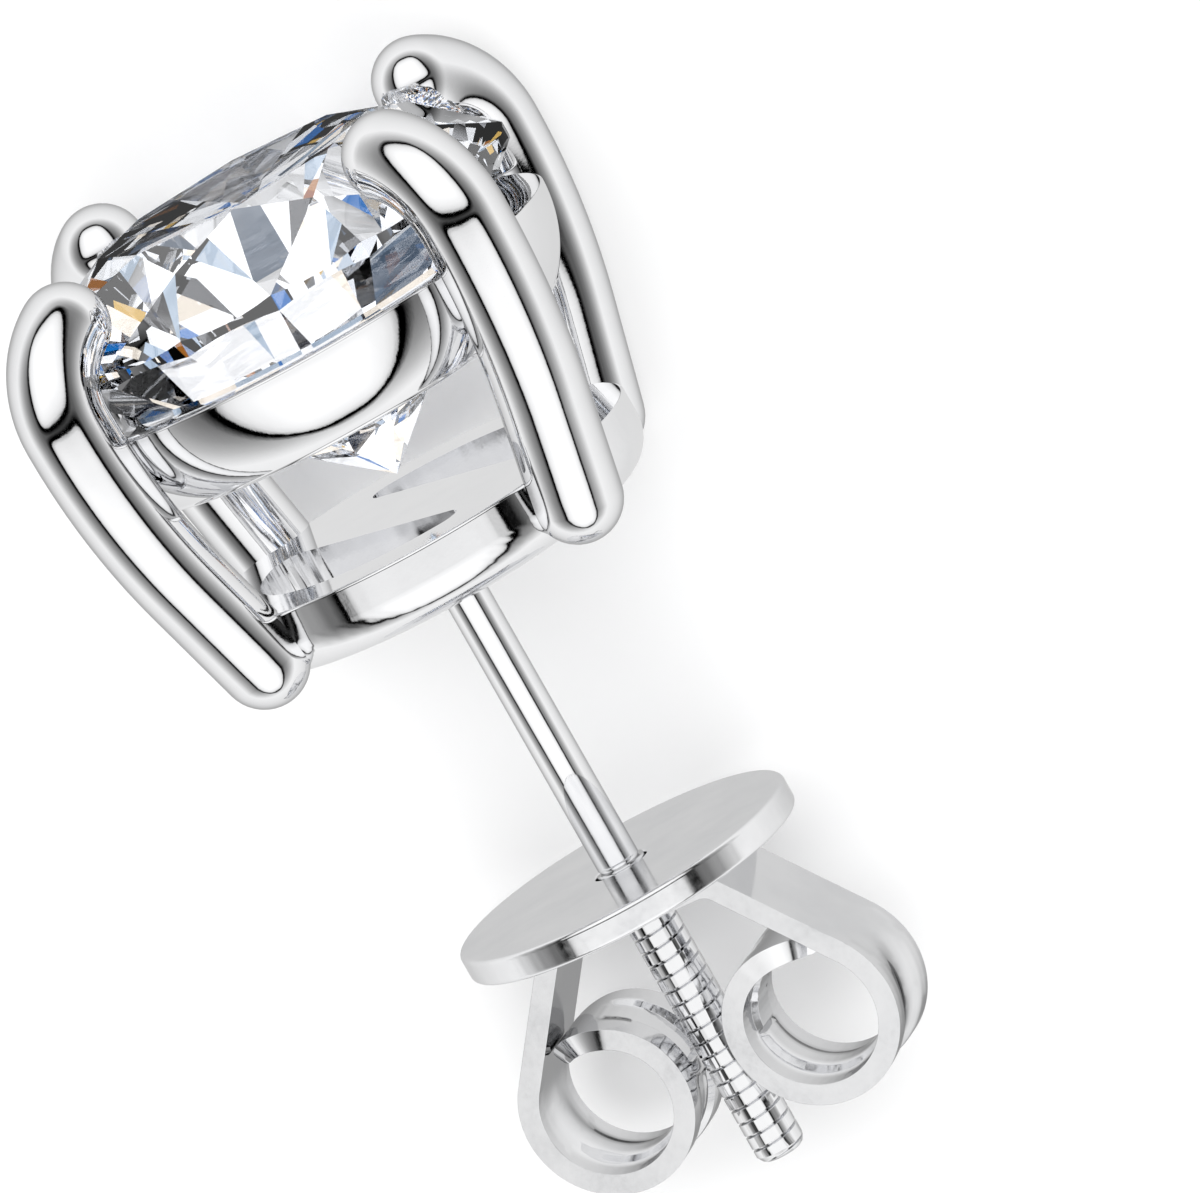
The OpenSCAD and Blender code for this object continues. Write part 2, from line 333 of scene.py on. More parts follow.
def node(tree, kind, inputs=(), **settings):
    made = tree.nodes.new(kind)
    for key, value in settings.items():
        setattr(made, key, value)
    for key, value in dict(inputs).items():
        if isinstance(value, bpy.types.NodeSocket):
            tree.links.new(value, made.inputs[key])
        else:
            made.inputs[key].default_value = value
    return made


def new_material(name):
    material = bpy.data.materials.new(name)
    material.use_nodes = True
    material.node_tree.nodes.clear()
    return material, material.node_tree


def polished_metal(name, haze, stretch=(1, 1, 1), bump=0.02, shade=0.5, edge=0.55):
    """Plated metal: haze is the range of its roughness, stretch the way it was polished,
    shade how far its clouds go to the duller colour, and edge its tint along outlines."""
    clouds_per_m, lines_per_m = 900.0, 9000.0
    finish = bpy.context.scene.earring_finish
    material, tree = new_material(name)
    place = node(tree, "ShaderNodeTexCoord").outputs["Object"]
    drawn = node(tree, "ShaderNodeMapping", {"Vector": place, "Scale": stretch})
    drawn.inputs["Rotation"].default_value = (0, -LEAN, 0)
    clouds = node(tree, "ShaderNodeTexNoise",
                  {"Vector": place, "Scale": clouds_per_m, "Detail": 3.0, "Roughness": 0.55})
    lines = node(tree, "ShaderNodeTexNoise",
                 {"Vector": drawn.outputs["Vector"], "Scale": lines_per_m, "Detail": 4.0,
                  "Roughness": 0.6})
    tone = node(tree, "ShaderNodeMapRange",
                {"Value": clouds.outputs["Fac"], "From Min": 0.35, "From Max": 0.75,
                 "To Min": 0.0, "To Max": shade})
    mix = node(tree, "ShaderNodeMix",
               {"Factor": tone.outputs["Result"]}, data_type="RGBA")
    mix.inputs["A"].default_value = (*finish.metal, 1)
    mix.inputs["B"].default_value = (*finish.metal_shade, 1)
    haze_mix = node(tree, "ShaderNodeMath",
                    {0: clouds.outputs["Fac"], 1: lines.outputs["Fac"]}, operation="MULTIPLY")
    rough = node(tree, "ShaderNodeMapRange",
                 {"Value": haze_mix.outputs["Value"], "From Min": 0.12, "From Max": 0.42,
                  "To Min": haze[0], "To Max": haze[1]})
    relief = node(tree, "ShaderNodeBump",
                  {"Height": lines.outputs["Fac"], "Strength": bump, "Distance": 0.02 * MM})
    metal = node(tree, "ShaderNodeBsdfPrincipled",
                 {"Base Color": mix.outputs["Result"], "Metallic": 1.0,
                  "Roughness": rough.outputs["Result"], "Normal": relief.outputs["Normal"]})
    metal.inputs["Specular Tint"].default_value = (edge, edge, edge, 1)
    node(tree, "ShaderNodeOutputMaterial", {"Surface": metal.outputs["BSDF"]})
    return material


def stone_material():
    """Clear stone with faint clouds in its colour."""
    sizes = bpy.context.scene.earring_stone
    material, tree = new_material("clear_stone")
    place = node(tree, "ShaderNodeTexCoord").outputs["Object"]
    haze = node(tree, "ShaderNodeTexNoise", {"Vector": place, "Scale": 700.0, "Detail": 3.0})
    tint = node(tree, "ShaderNodeMix", {"Factor": haze.outputs["Fac"]}, data_type="RGBA")
    tint.inputs["A"].default_value = (*sizes.tint, 1)
    tint.inputs["B"].default_value = (*(FAINT * c for c in sizes.tint), 1)
    glass = node(tree, "ShaderNodeBsdfGlass",
                 {"Color": tint.outputs["Result"], "Roughness": 0.0, "IOR": STONE_IOR})
    node(tree, "ShaderNodeOutputMaterial", {"Surface": glass.outputs["BSDF"]})
    return material


def floor_material():
    material, tree = new_material("pale_floor")
    finish = bpy.context.scene.earring_finish
    place = node(tree, "ShaderNodeTexCoord").outputs["Object"]
    mottle = node(tree, "ShaderNodeTexNoise", {"Vector": place, "Scale": 60.0, "Detail": 4.0})
    mix = node(tree, "ShaderNodeMix", {"Factor": mottle.outputs["Fac"]}, data_type="RGBA")
    mix.inputs["A"].default_value = (*finish.floor, 1)
    mix.inputs["B"].default_value = (*(FAINT * c for c in finish.floor), 1)
    paint = node(tree, "ShaderNodeBsdfPrincipled",
                 {"Base Color": mix.outputs["Result"], "Roughness": 0.75})
    paint.inputs["Specular IOR Level"].default_value = 0.1
    node(tree, "ShaderNodeOutputMaterial", {"Surface": paint.outputs["BSDF"]})
    return material


# The stone

def facet_planes(sizes):
    """A point and an outward direction for each facet, the table first."""
    r = mm(sizes.girdle_d) / 2
    top = mm(sizes.girdle_mid_h) + mm(sizes.girdle_h) / 2
    low = mm(sizes.girdle_mid_h) - mm(sizes.girdle_h) / 2
    crown, pavilion = math.tan(sizes.crown_angle), math.tan(sizes.pavilion_angle)
    half = math.radians(22.5)
    table_r = r * sizes.table_share
    table_h = top + (r - table_r) * crown
    star_r = (table_r * math.cos(half) + r) / 2
    star_h = top + (r - star_r * math.cos(half)) * crown
    meet_r = r * sizes.lower_share
    meet_h = low - (r - meet_r * math.cos(half)) * pavilion

    def at(radius, height, turn):
        return Vector((radius * math.cos(turn), radius * math.sin(turn), height))

    def through(a, b, c):
        normal = (b - a).cross(c - a).normalized()
        middle = Vector((0, 0, mm(sizes.girdle_mid_h)))
        return a, normal if normal.dot(a - middle) > 0 else -normal

    planes = [(Vector((0, 0, table_h)), Vector((0, 0, 1)))]
    for k in range(8):
        main, side, after = k * 2 * half, (k * 2 + 1) * half, (k + 1) * 2 * half
        up = Vector((math.sin(sizes.crown_angle) * math.cos(main),
                     math.sin(sizes.crown_angle) * math.sin(main), math.cos(sizes.crown_angle)))
        down = Vector((math.sin(sizes.pavilion_angle) * math.cos(main),
                       math.sin(sizes.pavilion_angle) * math.sin(main),
                       -math.cos(sizes.pavilion_angle)))
        star = at(star_r, star_h, side)
        meet = at(meet_r, meet_h, side)
        planes += [
            (at(r, top, main), up),
            (at(r, low, main), down),
            through(at(table_r, table_h, main), at(table_r, table_h, after), star),
            through(star, at(r, top, main), at(r, top, side)),
            through(star, at(r, top, side), at(r, top, after)),
            through(meet, at(r, low, main), at(r, low, side)),
            through(meet, at(r, low, side), at(r, low, after)),
        ]
    return planes


class EARRING_OT_stone(bpy.types.Operator):
    """Cut the round brilliant stone, facet by facet"""
    bl_idname = "earring.stone"
    bl_label = "Stone"

    def execute(self, context):
        sizes = context.scene.earring_stone
        blank_h = 10
        clear_bench()
        bpy.ops.mesh.primitive_cylinder_add(
            vertices=sizes.girdle_facets, radius=mm(sizes.girdle_d) / 2, depth=blank_h,
            location=(0, 0, mm(sizes.girdle_mid_h)))
        stone = take("brilliant_stone")
        for point, outward in facet_planes(sizes):
            bpy.ops.mesh.select_all(action="SELECT")
            bpy.ops.mesh.bisect(plane_co=point, plane_no=outward, use_fill=True,
                                clear_outer=True, threshold=ON_PLANE)
        weld_and_face_out()
        bpy.ops.object.mode_set(mode="OBJECT")
        turn_about_axis(stone, math.degrees(sizes.turn))
        finish_piece(stone, stone_material(), "stud", "stone", smooth=0)
        return {"FINISHED"}


# The setting

def stone_room(sizes):
    """The room that the stone takes out of the hooks of the prongs."""
    r = mm(sizes.girdle_d) / 2
    top = mm(sizes.girdle_mid_h) + mm(sizes.girdle_h) / 2
    low = mm(sizes.girdle_mid_h) - mm(sizes.girdle_h) / 2
    crown, pavilion = math.tan(sizes.crown_angle), math.tan(sizes.pavilion_angle)
    slope = crown * math.cos(math.radians(15))
    edge = r + STONE_GAP
    low_gap = STONE_GAP / math.cos(sizes.pavilion_angle)
    top_gap = STONE_GAP / math.cos(sizes.crown_angle)
    culet = low - r * pavilion
    return turned("stone_room", [
        (0, culet - low_gap), (edge, culet - low_gap + edge * pavilion),
        (edge, top + top_gap + r * crown - edge * slope), (0, top + top_gap + r * crown)],
        96, closed=False)


class EARRING_OT_prongs(bpy.types.Operator):
    """Bend one round prong with its foot, bow and hook, and copy it round the stone"""
    bl_idname = "earring.prongs"
    bl_label = "Prongs"

    def execute(self, context):
        sizes = context.scene.earring_setting
        foot_steps, bow_steps, hook_steps = 6, 28, 36
        r = mm(sizes.prong_d) / 2
        reach, hook_h, hook_r = mm(sizes.prong_reach), mm(sizes.hook_h), mm(sizes.hook_r)
        lean, sweep = sizes.prong_lean, sizes.hook_sweep
        bow_r = (hook_h - mm(sizes.bow_end_h)) / math.sin(lean)
        bow_x = reach - bow_r * (1 - math.cos(lean))
        rise = mm(sizes.bow_end_h) - mm(sizes.foot_h)
        foot = Vector((bow_x - rise * math.tan(lean), 0, mm(sizes.foot_h)))
        up = Vector((math.sin(lean), 0, math.cos(lean)))
        clear_bench()
        bpy.ops.mesh.primitive_circle_add(vertices=48, radius=r, fill_type="NGON",
                                          location=foot, rotation=(0, lean, 0))
        prong = take("prong_4")
        for _ in range(foot_steps):
            move(*(up * rise / math.cos(lean) / foot_steps))
        bend(bow_steps, -lean, (reach - bow_r, hook_h))
        bend(hook_steps, -sweep, (reach - hook_r, hook_h))
        tip = (reach - hook_r * (1 - math.cos(sweep)), 0, hook_h + hook_r * math.sin(sweep))
        round_end(tip, (-math.sin(sweep), 0, math.cos(sweep)), r, steps=14)
        pick(prong, "faces", lambda f: len(f.verts) > 4)
        round_end(foot, -up, r, steps=12)
        weld_and_face_out()
        bpy.ops.object.mode_set(mode="OBJECT")
        cut(prong, stone_room(context.scene.earring_stone))
        metal = polished_metal("prong_metal", haze=(0.02, 0.07))
        last = len(PRONG_AZIMUTHS)
        for number, azimuth in enumerate(PRONG_AZIMUTHS, 1):
            copy = prong if number == last else prong.copy()
            if number < last:
                copy.data = prong.data.copy()
                context.collection.objects.link(copy)
            copy.name = copy.data.name = f"prong_{number}"
            turn_about_axis(copy, azimuth)
            finish_piece(copy, metal, "stud", "prong_setting")
        return {"FINISHED"}


class EARRING_OT_seat_ring(bpy.types.Operator):
    """Turn the seat ring that carries the stone"""
    bl_idname = "earring.seat_ring"
    bl_label = "Seat Ring"

    def execute(self, context):
        sizes, stone = context.scene.earring_setting, context.scene.earring_stone
        top, low = mm(sizes.ring_top_h), mm(sizes.ring_low_h)
        r, curve, bore = mm(sizes.ring_r), mm(sizes.ring_curve_r), mm(sizes.ring_bore_r)
        edge = EDGE_ROUND
        centre = (r - curve, top)
        low_turn = -math.degrees(math.asin((top - low - edge) / curve))
        wall = arc(centre, curve, low_turn, -math.degrees(edge / curve), 40)
        lip = arc((r - edge, top - edge), edge, 5, 90, 5)
        pavilion = math.tan(stone.pavilion_angle)
        girdle_low = mm(stone.girdle_mid_h) - mm(stone.girdle_h) / 2
        room = STONE_GAP / math.cos(stone.pavilion_angle) / pavilion

        def seat_r(height):
            return mm(stone.girdle_d) / 2 - (girdle_low - height) / pavilion + room

        seat_h = girdle_low - (mm(stone.girdle_d) / 2 + room - bore) * pavilion
        seat = [(seat_r(top) + edge, top), (seat_r(top - edge), top - edge), (bore, seat_h)]
        foot = arc((bore + edge, low + edge), edge, 180, 270, 4)
        toe_x = wall[0][0]
        toe = arc((toe_x - edge, low + edge), edge, 270, 340, 4)
        ring = turned("seat_ring", wall + lip + seat + foot + toe, ROUND_BIG)
        finish_piece(ring, polished_metal("ring_metal", haze=(0.01, 0.04), edge=0.95),
                     "stud", "prong_setting", smooth=30)
        return {"FINISHED"}


def opening_cutter(sizes):
    """A half-round plug with rounded corners that cuts one opening of the base."""
    reach = mm(sizes.base_r) - mm(sizes.rim_w)
    bar, corner = mm(sizes.bar_w) / 2, mm(sizes.corner_r)
    x = bar + corner
    y = math.sqrt((reach - corner) ** 2 - x ** 2)
    turn = math.degrees(math.atan2(y, x))
    below, plug_h = 1, 4
    outline = (arc((x, -y), corner, 180, 360 - turn, 10)
               + arc((0, 0), reach, -turn, turn, 48)[1:-1]
               + arc((x, y), corner, turn, 180, 10))
    clear_bench()
    bpy.ops.mesh.primitive_plane_add(size=1)
    plug = take("opening_cutter")
    bpy.ops.mesh.merge(type="CENTER")
    spots = [Vector((a, b, -below)) for a, b in outline]
    bpy.ops.transform.translate(value=spots[0])
    for a, b in zip(spots, spots[1:] + spots[:1]):
        bpy.ops.mesh.extrude_vertices_move(TRANSFORM_OT_translate={"value": b - a})
    bpy.ops.mesh.select_all(action="SELECT")
    bpy.ops.mesh.remove_doubles(threshold=WELD)
    bpy.ops.mesh.edge_face_add()
    move(0, 0, plug_h)
    weld_and_face_out()
    bpy.ops.object.mode_set(mode="OBJECT")
    return plug


class EARRING_OT_base(bpy.types.Operator):
    """Turn the base and pierce its two half-round openings"""
    bl_idname = "earring.base"
    bl_label = "Base"

    def execute(self, context):
        sizes = context.scene.earring_setting
        r, h, low = mm(sizes.base_r), mm(sizes.base_h), mm(sizes.base_round_r)
        edge = EDGE_ROUND
        outline = ([(0, 0)] + arc((r - low, low), low, -90, 0, 16)
                   + arc((r - edge, h - edge), edge, 0, 90, 5) + [(0, h)])
        base = turned("pierced_base", outline, ROUND_BIG, closed=False)
        for turn in (0, 180):
            plug = opening_cutter(sizes)
            turn_about_axis(plug, BAR_AZIMUTH + 90 + turn)
            cut(base, plug)
        soften(base, EDGE_ROUND, limit=50)
        finish_piece(base, polished_metal("base_metal", haze=(0.03, 0.1), edge=1.0),
                     "stud", "prong_setting", smooth=30, flats=True)
        return {"FINISHED"}


# The post and its thread

class EARRING_OT_post(bpy.types.Operator):
    """Turn the plain part of the post and screw its thread"""
    bl_idname = "earring.post"
    bl_label = "Post"

    def execute(self, context):
        sizes = context.scene.earring_post
        r, end = mm(sizes.shank_d) / 2, -mm(sizes.shank_len)
        crest, root, pitch = mm(sizes.thread_d) / 2, mm(sizes.root_d) / 2, mm(sizes.pitch)
        tip = end - sizes.turns * pitch
        fillet, rooted, shank_edge = 0.12, 0.4, 0.05
        shank = turned("post_shank", [(0, rooted), (r + fillet, rooted)]
                       + [(r + fillet, 0)] + arc((r + fillet, -fillet), fillet, 90, 180, 6)
                       + [(r, end + shank_edge), (r - 0.03, end), (0, end)],
                       ROUND_SMALL, closed=False)
        # One crest, each point as its radius and its share of the pitch
        profile = [(root, 0), (root, 0.025), (crest - 0.010, 0.085), (crest - 0.002, 0.105),
                   (crest, 0.13), (crest, 0.87), (crest - 0.002, 0.895), (crest - 0.010, 0.915),
                   (root, 0.975), (root, 1)]
        run_in, run_out = 2, 1
        thread = traced("post_thread", [(x, tip - run_in * pitch + share_of * pitch)
                                        for x, share_of in profile], False)
        bpy.ops.object.mode_set(mode="OBJECT")
        apply_modifier(thread, "SCREW", steps=ROUND_SMALL, render_steps=ROUND_SMALL,
                       iterations=run_in + sizes.turns + run_out, screw_offset=pitch,
                       use_merge_vertices=True, merge_threshold=WELD)
        bpy.ops.object.mode_set(mode="EDIT")
        weld_and_face_out()
        for height, outward in ((end, 1), (tip, -1)):
            bpy.ops.mesh.select_all(action="SELECT")
            bpy.ops.mesh.bisect(plane_co=(0, 0, height), plane_no=(0, 0, outward),
                                use_fill=True, clear_outer=True, threshold=ON_PLANE)
        weld_and_face_out()
        bpy.ops.object.mode_set(mode="OBJECT")
        chamfer = turned("thread_end", [(0, tip), (root - 0.03, tip), (root + 0.02, tip + 0.03),
                                        (crest + 0.02, tip + 0.16), (crest + 0.02, end + 1),
                                        (0, end + 1)], ROUND_SMALL, closed=False)
        cut(thread, chamfer, "INTERSECT")
        metal = polished_metal("post_metal", haze=(0.03, 0.09), stretch=(0.08, 1, 1), bump=0.03)
        finish_piece(shank, metal, "stud", "prong_setting")
        finish_piece(thread, metal, "stud", "prong_setting",
                     smooth=28, flats=True)
        return {"FINISHED"}


# The screw back

class EARRING_OT_disc(bpy.types.Operator):
    """Turn the flat disc of the screw back"""
    bl_idname = "earring.disc"
    bl_label = "Disc"

    def execute(self, context):
        sizes = context.scene.earring_back
        r, t, hole = mm(sizes.disc_d) / 2, mm(sizes.disc_t), mm(sizes.hole_r)
        front = -mm(sizes.disc_at)
        back, rim, lip = front - t, 0.08, 0.04
        outline = (arc((r - rim, back + rim), rim, -90, 0, 6)
                   + arc((r - rim, front - rim), rim, 0, 90, 6)
                   + arc((hole + lip, front - lip), lip, 90, 180, 4)
                   + arc((hole + lip, back + lip), lip, 180, 270, 4))
        disc = turned("back_disc_turned", outline, 224)
        metal = polished_metal("disc_metal", haze=(0.07, 0.2), shade=0.9, edge=0.82)
        finish_piece(disc, metal, "disc", "back_disc", smooth=30, flats=True)
        return {"FINISHED"}


class EARRING_OT_clip(bpy.types.Operator):
    """Bend the clip's strip into its two scrolls"""
    bl_idname = "earring.clip"
    bl_label = "Clip"

    def execute(self, context):
        sizes = context.scene.earring_back
        w, t = mm(sizes.strip_w), mm(sizes.strip_t)
        behind_disc, tuck_share, end_turn = 0.03, 0.88, math.radians(62)
        flat_steps, arm_steps, tuck_steps, slim_steps = 3, 8, 20, 14
        disc_back = -mm(sizes.disc_at) - mm(sizes.disc_t)
        slope, bend_r, scroll_r = sizes.arm_slope, mm(sizes.bend_r), mm(sizes.scroll_r)
        flat_h = disc_back - behind_disc - t / 2
        scroll_x = mm(sizes.hole_r) + t / 2 + scroll_r
        scroll_h = disc_back - mm(sizes.scroll_drop)
        arm_top_h = flat_h - bend_r * (1 - math.cos(slope))
        arm_end = (scroll_x + scroll_r * math.sin(slope), scroll_h + scroll_r * math.cos(slope))
        arm_len = (arm_top_h - arm_end[1]) / math.sin(slope)
        arm_top_x = arm_end[0] - arm_len * math.cos(slope)
        bend_x = arm_top_x - bend_r * math.sin(slope)
        tuck_r = tuck_share * scroll_r
        tuck_x = scroll_x - scroll_r + tuck_r
        tuck_sweep = math.pi - end_turn
        clear_bench()
        bpy.ops.mesh.primitive_grid_add(x_subdivisions=1, y_subdivisions=18, size=1,
                                        location=(0, 0, flat_h), rotation=(0, math.pi / 2, 0))
        bpy.context.object.scale = (t, w, 1)
        clip = take("clip_strip")
        for _ in range(flat_steps):
            move(bend_x / flat_steps, 0, 0)
        bend(10, slope, (bend_x, flat_h - bend_r))
        step_len = arm_len / arm_steps
        for _ in range(arm_steps):
            move(step_len * math.cos(slope), 0, -step_len * math.sin(slope))
        bend(64, math.radians(270) - slope, (scroll_x, scroll_h))
        one_step = tuck_sweep / (tuck_steps + slim_steps)
        bend(tuck_steps, one_step * tuck_steps, (tuck_x, scroll_h))
        full = 1.0
        for step in range(1, slim_steps + 1):
            bend(1, one_step, (tuck_x, scroll_h))
            slim = math.sqrt(1 - 0.78 * (step / slim_steps) ** 2)
            bpy.ops.transform.resize(value=(1, slim / full, 1))
            full = slim
        onward = Vector((math.sin(end_turn), 0, -math.cos(end_turn)))
        thick, wide = 1.0, 1.0
        for thin, slim, ahead in ((0.93, 0.97, 0.2), (0.74, 0.9, 0.16), (0.42, 0.78, 0.12)):
            move(*(onward * t * ahead))
            bpy.ops.transform.resize(value=(thin / thick, slim / wide, thin / thick))
            thick, wide = thin, slim
        weld_and_face_out()
        bpy.ops.object.mode_set(mode="OBJECT")
        press_groove(clip, sizes, (scroll_x, scroll_h), (tuck_x, scroll_h), tuck_r)
        open_middle(clip)
        apply_modifier(clip, "MIRROR", use_axis=(True, False, False), merge_threshold=WELD)
        clear_bench()
        bpy.ops.mesh.primitive_cylinder_add(vertices=64, radius=mm(sizes.hole_r), depth=2,
                                            location=(0, 0, flat_h))
        cut(clip, bpy.context.object)
        soften(clip, 0.055)
        turn_about_axis(clip, math.degrees(sizes.clip_turn))
        metal = polished_metal("clip_metal", haze=(0.06, 0.16), shade=0.7, edge=0.38)
        finish_piece(clip, metal, "clip", "back_clip", smooth=32, flats=True)
        return {"FINISHED"}


def press_groove(clip, sizes, scroll, tuck, tuck_r):
    """Presses the middle of the strip towards the scroll's centre, tapering in and out."""
    deep, scroll_r = mm(sizes.groove), mm(sizes.scroll_r)
    middle = mm(sizes.strip_w) * 0.2
    sector, fade_over, above = 6, 50, 0.01
    groove_start, tongue, tongue_fade = 36, 62, 96
    near_scroll, near_tuck, beside = 0.3, 0.2, 0.25
    bpy.ops.object.mode_set(mode="EDIT")

    def turn_of(corner, centre):
        return math.degrees(math.atan2(corner.co.z - centre[1], corner.co.x - centre[0]))

    def depth(turn):
        start = min(max((groove_start - turn) / fade_over, 0), 1)
        return start * start * (3 - 2 * start)

    def off(corner, centre, r):
        return abs(math.hypot(corner.co.x - centre[0], corner.co.z - centre[1]) - r)

    for low in range(-180, groove_start, sector):
        deepness = depth(low + sector / 2)
        reach = middle * min(1, 0.25 + 1.1 * deepness)
        pick(clip, "verts", lambda v: abs(v.co.y) < reach and v.co.x > 0.5
             and v.co.z < scroll[1] + scroll_r * 0.8
             and low <= turn_of(v, scroll) < low + sector
             and off(v, scroll, scroll_r) < near_scroll
             and not (low < 0 and v.co.z > scroll[1] + above))
        size = 1 - deepness * deep / scroll_r
        bpy.ops.transform.resize(value=(size, 1, size), center_override=(scroll[0], 0, scroll[1]))
    # Its walls are smoothed most where it begins
    for end, passes in ((-28, 5), (-50, 2), (-75, 1), (-100, 1), (-180, 1)):
        pick(clip, "verts", lambda v: abs(v.co.y) < middle + beside
             and end < turn_of(v, scroll) < 48 and off(v, scroll, scroll_r) < near_scroll)
        bpy.ops.mesh.vertices_smooth(factor=0.5, repeat=passes)
    for low in range(tongue, 180, sector):
        pick(clip, "verts", lambda v: abs(v.co.y) < middle and v.co.z > scroll[1] + above
             and low <= turn_of(v, tuck) < low + sector and off(v, tuck, tuck_r) < near_tuck)
        fade = min(max((low - tongue_fade) / fade_over, 0), 1)
        size = 1 - fade * deep / tuck_r
        bpy.ops.transform.resize(value=(size, 1, size), center_override=(tuck[0], 0, tuck[1]))
    bpy.ops.object.mode_set(mode="OBJECT")


def open_middle(clip):
    """Opens the strip at its middle, where its mirror image joins it."""
    bpy.context.view_layer.objects.active = clip
    clip.select_set(True)
    bpy.ops.object.mode_set(mode="EDIT")
    pick(clip, "faces", lambda f: abs(f.calc_center_median().x) < WELD)
    bpy.ops.mesh.delete(type="ONLY_FACE")
    bpy.ops.object.mode_set(mode="OBJECT")


# Floor, light and camera

def ramp(tree, value, stops, steps=False):
    """A scale of greys or colours; each stop is a place and its light."""
    made = node(tree, "ShaderNodeValToRGB", {"Fac": value})
    bar = made.color_ramp
    bar.interpolation = "CONSTANT" if steps else "LINEAR"
    while len(bar.elements) < len(stops):
        bar.elements.new(0.5)
    for element, (place, light) in zip(bar.elements, stops):
        element.position = place
        element.color = (*light, 1) if isinstance(light, tuple) else (light, light, light, 1)
    return made.outputs["Color"]


def calc(tree, operation, *values):
    made = node(tree, "ShaderNodeMath", dict(enumerate(values)), operation=operation)
    return made.outputs["Value"]


def mixed(tree, factor, a, b, blend="MIX"):
    mix = node(tree, "ShaderNodeMix", {"Factor": factor}, data_type="RGBA", blend_type=blend)
    tree.links.new(a, mix.inputs["A"])
    tree.links.new(b, mix.inputs["B"])
    return mix.outputs["Result"]


def panel(tree, across, along, half_across, middle, half_along):
    """How far a direction lies from the middle of a round-cornered light panel: 1 at its edge."""
    a = calc(tree, "POWER", calc(tree, "DIVIDE", across, math.radians(half_across)), SQUARENESS)
    off = calc(tree, "ABSOLUTE", calc(tree, "SUBTRACT", along, math.radians(middle)))
    b = calc(tree, "POWER", calc(tree, "DIVIDE", off, math.radians(half_along)), SQUARENESS)
    return calc(tree, "POWER", calc(tree, "ADD", a, b), 1 / SQUARENESS)


# Each panel: half its width across the post, its middle along the post, half its length there
PANELS = ((46, 32, 35), (46, -45, 32))
SQUARENESS = 6.0
# What the stone sees through its facets: white, black, blue, orange and yellow patches
CRYSTAL_SKY = ((0.0, (1.35, 1.35, 1.35)), (0.20, (0.5, 0.62, 0.76)), (0.27, (0.005, 0.005, 0.01)),
               (0.35, (1.4, 1.4, 1.4)), (0.48, (0.10, 0.14, 0.2)), (0.55, (1.35, 1.22, 1.05)),
               (0.63, (0.015, 0.2, 0.62)), (0.69, (1.4, 1.4, 1.4)), (0.80, (0.5, 0.18, 0.03)),
               (0.84, (0.01, 0.01, 0.015)), (0.91, (0.95, 0.6, 0.14)), (0.935, (1.35, 1.35, 1.35)))


def studio_light(stage):
    """Two white panels overhead with dark edges, and a wall that fades to white at the floor."""
    world = bpy.data.worlds.new("studio")
    bpy.context.scene.world = world
    world.use_nodes = True
    tree = world.node_tree
    tree.nodes.clear()
    way = node(tree, "ShaderNodeTexCoord").outputs["Generated"]
    parts = node(tree, "ShaderNodeSeparateXYZ", {"Vector": way})
    x, y, z = (parts.outputs[i] for i in range(3))
    across = calc(tree, "ARCTAN2", calc(tree, "ABSOLUTE", y), z)
    along = calc(tree, "ARCTAN2", calc(tree, "MULTIPLY", x, -1.0), z)
    near = calc(tree, "MINIMUM", *(panel(tree, across, along, *sizes) for sizes in PANELS))
    tent = ramp(tree, calc(tree, "DIVIDE", near, 2.0),
                [(0.0, 1.0), (0.3, 1.0), (0.41, 0.87), (0.46, 0.74), (0.495, 0.42), (0.502, 0.0),
                 (1.0, 0.0)])
    wall = ramp(tree, calc(tree, "DIVIDE", calc(tree, "ARCCOSINE", z), math.pi),
                [(0.0, 0.08), (0.28, 0.10), (0.33, 0.17), (0.38, 0.30), (0.43, 0.5), (0.47, 0.72),
                 (0.5, 0.86), (0.6, 0.8), (0.8, 0.69), (1.0, 0.66)])
    outside = ramp(tree, calc(tree, "DIVIDE", near, 2.0), [(0.0, 0.0), (0.54, 0.0), (0.60, 1.0)])
    studio = mixed(tree, 1.0, tent, mixed(tree, 1.0, wall, outside, "MULTIPLY"), "ADD")
    cells = node(tree, "ShaderNodeTexVoronoi", {"Vector": way, "Scale": 9.5})
    draw = node(tree, "ShaderNodeSeparateColor", {"Color": cells.outputs["Color"]})
    crystal = ramp(tree, draw.outputs[0], CRYSTAL_SKY, steps=True)
    ray = node(tree, "ShaderNodeLightPath")
    # A dark card below, which only the stone's mirror-like facets show
    card = calc(tree, "MULTIPLY", ray.outputs["Is Singular Ray"],
                calc(tree, "LESS_THAN", z, -0.8))
    dark = ramp(tree, card, [(0.0, 1.0), (1.0, 0.12)])
    seen = mixed(tree, ray.outputs["Is Transmission Ray"],
                 mixed(tree, 1.0, studio, dark, "MULTIPLY"), crystal)
    light = node(tree, "ShaderNodeBackground", {"Color": seen, "Strength": stage.light})
    node(tree, "ShaderNodeOutputWorld", {"Surface": light.outputs["Background"]})


def floor_light(stage):
    """A broad soft lamp that lights the floor and leaves no mark in the metal."""
    lamp = bpy.data.lights.new("soft_lamp", "AREA")
    width, height = 1.6, 0.9
    lamp.shape, lamp.size, lamp.energy = "DISK", width, stage.lamp
    hung = bpy.data.objects.new("soft_lamp", lamp)
    hung.location = (0, 0, height)
    hung.visible_glossy = hung.visible_transmission = hung.visible_camera = False
    bpy.context.scene.collection.objects.link(hung)


SENSOR_W = 36


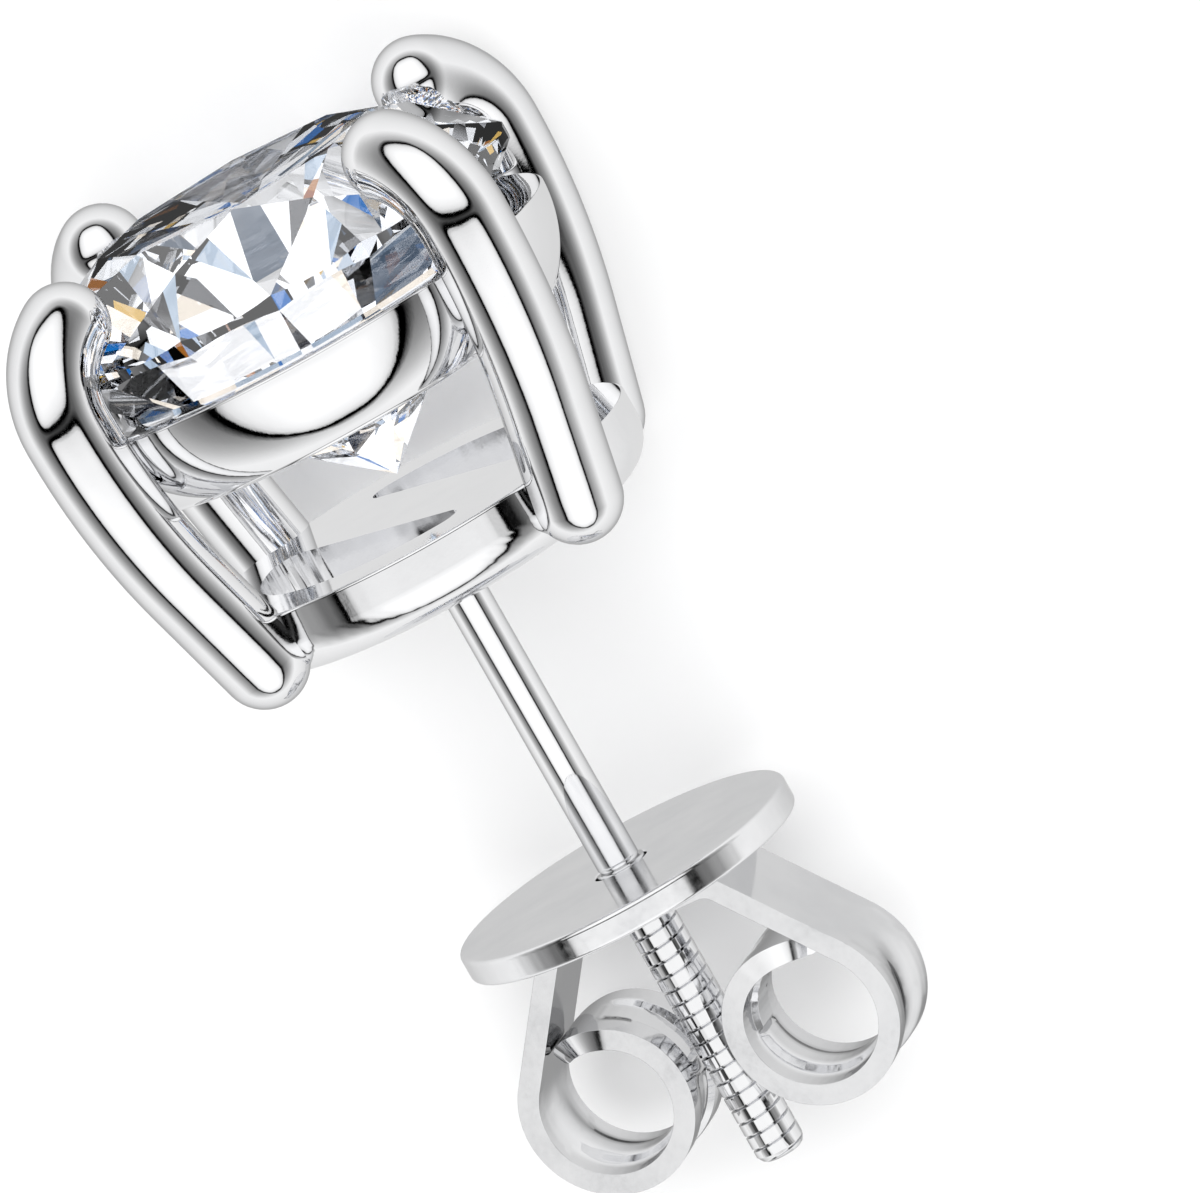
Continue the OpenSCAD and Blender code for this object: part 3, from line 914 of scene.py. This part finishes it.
def photo_camera(stage):
    """Looks at the stud from its front and above, with its post sloping down to the right."""
    outward = Vector((-math.cos(LEAN), 0, math.sin(LEAN)))
    upward = Vector((math.sin(LEAN), 0, math.cos(LEAN)))
    side = Vector((0, 1, 0))
    near = math.sin(stage.round_axis) * side + math.cos(stage.round_axis) * upward
    across = math.cos(stage.round_axis) * side - math.sin(stage.round_axis) * upward
    back = math.cos(stage.above_girdle) * near + math.sin(stage.above_girdle) * outward
    along = math.sin(stage.above_girdle) * near - math.cos(stage.above_girdle) * outward
    right = math.cos(stage.roll) * across + math.sin(stage.roll) * along
    up = math.sin(stage.roll) * across - math.cos(stage.roll) * along
    origin = Vector((-MIDDLE_X, 0, REST_H)) * MM
    aim = origin - outward * stage.aim_w + across * stage.aim_u
    eye = bpy.data.objects.new("camera", bpy.data.cameras.new("camera"))
    bpy.context.scene.collection.objects.link(eye)
    eye.data.sensor_width = SENSOR_W
    eye.data.lens = SENSOR_W * stage.distance / stage.frame_w
    eye.data.clip_start, eye.data.clip_end = 0.01, 10
    turn = Matrix((right, up, back)).transposed().to_4x4()
    eye.matrix_world = Matrix.Translation(aim + back * stage.distance) @ turn
    bpy.context.scene.camera = eye


class EARRING_OT_stage(bpy.types.Operator):
    """Lay the floor, hang the light and set up the camera"""
    bl_idname = "earring.stage"
    bl_label = "Stage"

    def execute(self, context):
        stage = context.scene.earring_stage
        clear_bench()
        bpy.ops.mesh.primitive_plane_add(size=1.2)
        floor = context.object
        floor.name = floor.data.name = "floor"
        floor.data.materials.append(floor_material())
        floor.visible_transmission = floor.visible_glossy = False
        studio_light(stage)
        floor_light(stage)
        photo_camera(stage)
        context.scene.view_settings.view_transform = "Standard"
        rays = context.scene.cycles
        rays.max_bounces, rays.transmission_bounces, rays.glossy_bounces = 18, 14, 6
        rays.blur_glossy = 0.0
        return {"FINISHED"}


STEPS = ("stone", "prongs", "seat_ring", "base", "post", "disc", "clip", "stage")
GROUPS = {
    "earring_stone": EarringStoneSizes,
    "earring_setting": EarringSettingSizes,
    "earring_post": EarringPostSizes,
    "earring_back": EarringBackSizes,
    "earring_finish": EarringFinish,
    "earring_stage": EarringStage,
}


class EARRING_PT_panel(bpy.types.Panel):
    """Sizes of the earring and the steps that build it"""
    bl_idname = "EARRING_PT_panel"
    bl_label = "Stud Earring"
    bl_space_type = "VIEW_3D"
    bl_region_type = "UI"
    bl_category = "Earring"

    def draw(self, context):
        for group in GROUPS:
            box = self.layout.box()
            box.label(text=group.replace("_", " ").capitalize())
            settings = getattr(context.scene, group)
            for name in settings.bl_rna.properties.keys():
                if name not in ("rna_type", "name"):
                    box.prop(settings, name)
        for step in STEPS:
            self.layout.operator(f"earring.{step}")


OPERATORS = (EARRING_OT_stone, EARRING_OT_prongs, EARRING_OT_seat_ring, EARRING_OT_base,
             EARRING_OT_post, EARRING_OT_disc, EARRING_OT_clip, EARRING_OT_stage)


def register():
    for kind in (*GROUPS.values(), *OPERATORS, EARRING_PT_panel):
        bpy.utils.register_class(kind)
    for name, kind in GROUPS.items():
        setattr(bpy.types.Scene, name, PointerProperty(type=kind))


def unregister():
    for name in GROUPS:
        delattr(bpy.types.Scene, name)
    for kind in reversed((*GROUPS.values(), *OPERATORS, EARRING_PT_panel)):
        bpy.utils.unregister_class(kind)


def main():
    register()
    for step in STEPS:
        getattr(bpy.ops.earring, step)()
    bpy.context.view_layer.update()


if __name__ == "__main__":
    main()
